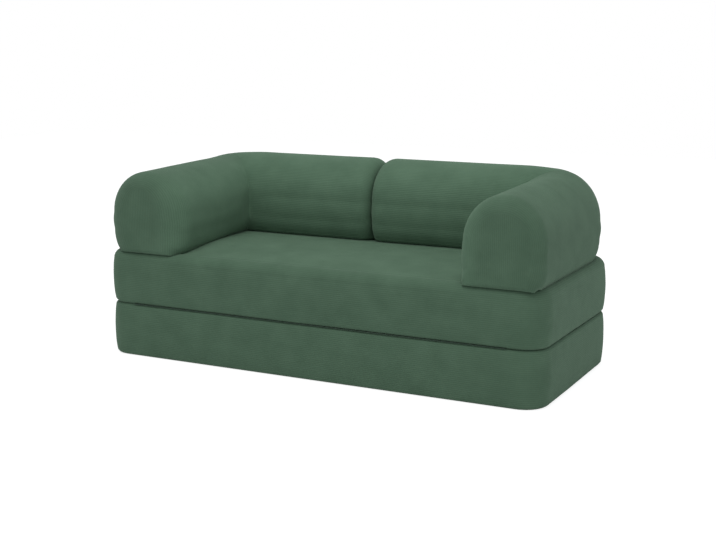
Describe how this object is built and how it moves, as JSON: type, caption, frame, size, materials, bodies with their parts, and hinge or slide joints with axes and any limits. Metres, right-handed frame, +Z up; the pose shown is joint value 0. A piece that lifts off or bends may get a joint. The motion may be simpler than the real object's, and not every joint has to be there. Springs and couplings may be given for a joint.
{
  "type": "modular sofa bed",
  "caption": "Modular foam sofa bed: stacked hinged mattresses that fold out to a bed, with loose L-shaped corner cushions as arms and back.",
  "frame": {"origin": "on the floor, under the middle of the closed sofa", "axes": "+Z up, -Y the front that the sitter faces, +X the sitter's left"},
  "size_m": [2, 0.9049, 0.8353],
  "materials": {
    "corduroy": "matte fine-wale corduroy",
    "wadding": "soft polyester fibre",
    "core_foam": "open-cell foam",
    "comfort_foam": "soft open-cell foam",
    "zip_tape": "woven tape with nylon coil",
    "zip_metal": "satin",
    "hinge_cloth": "twill",
    "hook_and_loop": "hook and loop pile"
  },
  "bodies": {
    "seat": {"seat_cover": "corduroy", "seat_wadding": "wadding", "seat_sleeping_foam": "comfort_foam", "seat_foam_core": "core_foam", "seat_sitting_foam": "comfort_foam", "seat_zip": "zip_tape", "seat_hinge_strip": "hinge_cloth", "seat_loop_strips": "hook_and_loop"},
    "base": {"base_cover": "corduroy", "base_wadding": "wadding", "base_foam_core": "core_foam", "base_sleeping_foam": "comfort_foam", "base_zip": "zip_tape", "base_hinge_strip": "hinge_cloth"},
    "right_cushion": {"right_cushion_cover": "corduroy", "right_cushion_wadding": "wadding", "right_arm_foam": "core_foam", "right_back_foam": "core_foam", "right_cushion_zip": "zip_tape", "right_hook_strips": "hook_and_loop"},
    "left_cushion": {"left_cushion_cover": "corduroy", "left_cushion_wadding": "wadding", "left_arm_foam": "core_foam", "left_back_foam": "core_foam", "left_cushion_zip": "zip_tape", "left_hook_strips": "hook_and_loop"},
    "base_slider": {"base_zip_slider": "zip_metal"},
    "base_pull": {"base_zip_pull": "zip_metal"},
    "seat_slider": {"seat_zip_slider": "zip_metal"},
    "seat_pull": {"seat_zip_pull": "zip_metal"},
    "right_cushion_slider": {"right_cushion_zip_slider": "zip_metal"},
    "right_cushion_pull": {"right_cushion_zip_pull": "zip_metal"},
    "left_cushion_slider": {"left_cushion_zip_slider": "zip_metal"},
    "left_cushion_pull": {"left_cushion_zip_pull": "zip_metal"}
  },
  "joints": [
    {"name": "fold_out", "type": "hinge", "parent": "seat", "child": "base", "pos_m": [0, -0.45015, 0.23015], "axis": [-1, 0, 0], "range_deg": [0, 180]},
    {"name": "right_lift_off", "type": "slide", "parent": "seat", "child": "right_cushion", "axis": [0, 0, 1], "range_m": [0, 0.35]},
    {"name": "left_lift_off", "type": "slide", "parent": "seat", "child": "left_cushion", "axis": [0, 0, 1], "range_m": [0, 0.35]},
    {"name": "base_zip_slide", "type": "slide", "parent": "base", "child": "base_slider", "axis": [1, 0, 0], "range_m": [0, 1.454]},
    {"name": "base_pull_turn", "type": "hinge", "parent": "base_slider", "child": "base_pull", "pos_m": [-0.727, 0.4527, 0.115], "axis": [0, 0, 1], "range_deg": [0, 180]},
    {"name": "seat_zip_slide", "type": "slide", "parent": "seat", "child": "seat_slider", "axis": [1, 0, 0], "range_m": [0, 1.454]},
    {"name": "seat_pull_turn", "type": "hinge", "parent": "seat_slider", "child": "seat_pull", "pos_m": [-0.727, 0.4527, 0.3453], "axis": [0, 0, 1], "range_deg": [0, 180]},
    {"name": "right_cushion_zip_slide", "type": "slide", "parent": "right_cushion", "child": "right_cushion_slider", "axis": [1, 0, 0], "range_m": [0, 0.374]},
    {"name": "right_cushion_pull_turn", "type": "hinge", "parent": "right_cushion_slider", "child": "right_cushion_pull", "pos_m": [-0.60415, 0.4467, 0.5583], "axis": [0, 0, 1], "range_deg": [0, 180]},
    {"name": "left_cushion_zip_slide", "type": "slide", "parent": "left_cushion", "child": "left_cushion_slider", "axis": [-1, 0, 0], "range_m": [0, 0.374]},
    {"name": "left_cushion_pull_turn", "type": "hinge", "parent": "left_cushion_slider", "child": "left_cushion_pull", "pos_m": [0.60415, 0.4467, 0.5583], "axis": [0, 0, -1], "range_deg": [0, 180]}
  ]
}
